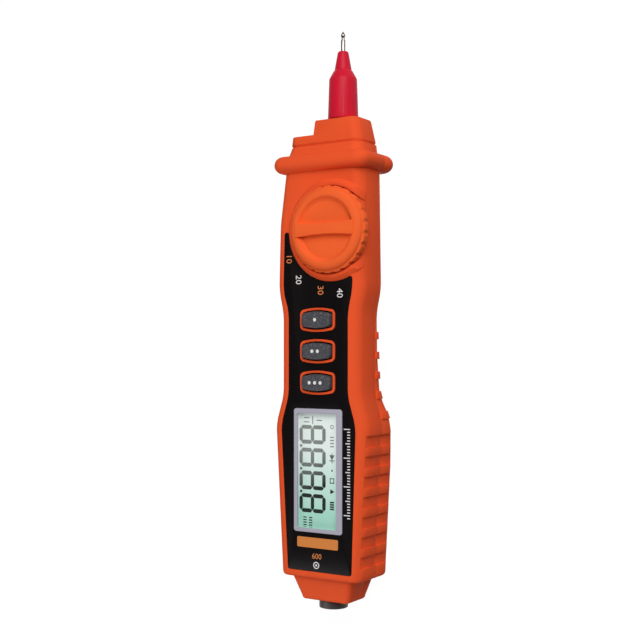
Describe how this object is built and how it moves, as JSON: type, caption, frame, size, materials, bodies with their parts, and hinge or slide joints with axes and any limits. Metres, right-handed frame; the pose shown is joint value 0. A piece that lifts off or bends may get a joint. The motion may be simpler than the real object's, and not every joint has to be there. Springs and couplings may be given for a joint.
{
  "type": "pen multimeter",
  "caption": "Handheld pen-shaped multimeter with a fixed probe needle, hand guard, rotary selector, rubber keys, display window and a test-lead socket at its lower end.",
  "frame": {"origin": "on the resting plane (the back face), under the body's centreline, halfway between the socket's end and the needle's point", "axes": "+X to the right seen from the front, +Y along the body towards the probe tip, +Z out of the front face"},
  "size_m": [0.0406, 0.2064, 0.0278],
  "materials": {
    "orange_plastic": "satin moulded",
    "panel_film": "gloss",
    "bezel_plastic": "satin",
    "clear_window": "clear",
    "display_glass": "matt polariser",
    "white_plastic": "matt",
    "black_rubber": "matt",
    "key_rubber": "matt, fine grain",
    "board_green": "satin",
    "steel": "zinc plated",
    "nickel": "nickel plated",
    "brass": "satin",
    "copper": "satin",
    "sleeve_red": "semi-gloss",
    "black_plastic": "satin",
    "ceramic": "satin",
    "cell_wrap": "printed sleeve, plain"
  },
  "bodies": {
    "meter": {"front_housing": "orange_plastic", "rear_housing": "orange_plastic", "case_screws": "steel", "front_panel": "panel_film", "display_bezel": "bezel_plastic", "display_window": "clear_window", "lcd_glass": "display_glass", "lcd_holder": "white_plastic", "backlight_plate": "white_plastic", "zebra_strips": "black_rubber", "circuit_board": "board_green", "keypad_mat": "key_rubber", "probe_sleeve": "sleeve_red", "probe_needle": "nickel", "probe_contact": "brass", "ncv_antenna": "copper", "buzzer": "black_plastic", "main_chip": "black_plastic", "thermistor": "ceramic", "board_parts": "black_plastic", "com_jack": "black_plastic", "com_contact": "brass", "battery_left": "cell_wrap", "battery_right": "cell_wrap", "battery_link": "nickel", "battery_contacts": "nickel"},
    "selector": {"selector_knob": "orange_plastic", "switch_rotor": "white_plastic", "rotor_wipers": "brass", "knob_screw": "steel", "detent_springs": "steel", "detent_balls": "steel"},
    "upper_key": {"key_upper": "key_rubber", "pill_upper": "black_rubber"},
    "middle_key": {"key_middle": "key_rubber", "pill_middle": "black_rubber"},
    "lower_key": {"key_lower": "key_rubber", "pill_lower": "black_rubber"},
    "door": {"battery_door": "orange_plastic", "battery_door_screw": "steel"}
  },
  "joints": [
    {"name": "selector_turn", "type": "hinge", "parent": "meter", "child": "selector", "pos_m": [0.00575, 0.03155, 0.0224], "axis": [0, 0, 1], "range_deg": [0, 98]},
    {"name": "upper_key_press", "type": "slide", "parent": "meter", "child": "upper_key", "axis": [0, 0, -1], "range_m": [0, 0.0008], "stiffness_N_per_m": 1200},
    {"name": "middle_key_press", "type": "slide", "parent": "meter", "child": "middle_key", "axis": [0, 0, -1], "range_m": [0, 0.0008], "stiffness_N_per_m": 1200},
    {"name": "lower_key_press", "type": "slide", "parent": "meter", "child": "lower_key", "axis": [0, 0, -1], "range_m": [0, 0.0008], "stiffness_N_per_m": 1200},
    {"name": "door_lift", "type": "slide", "parent": "meter", "child": "door", "axis": [0, 0, -1], "range_m": [0, 0.014]}
  ]
}
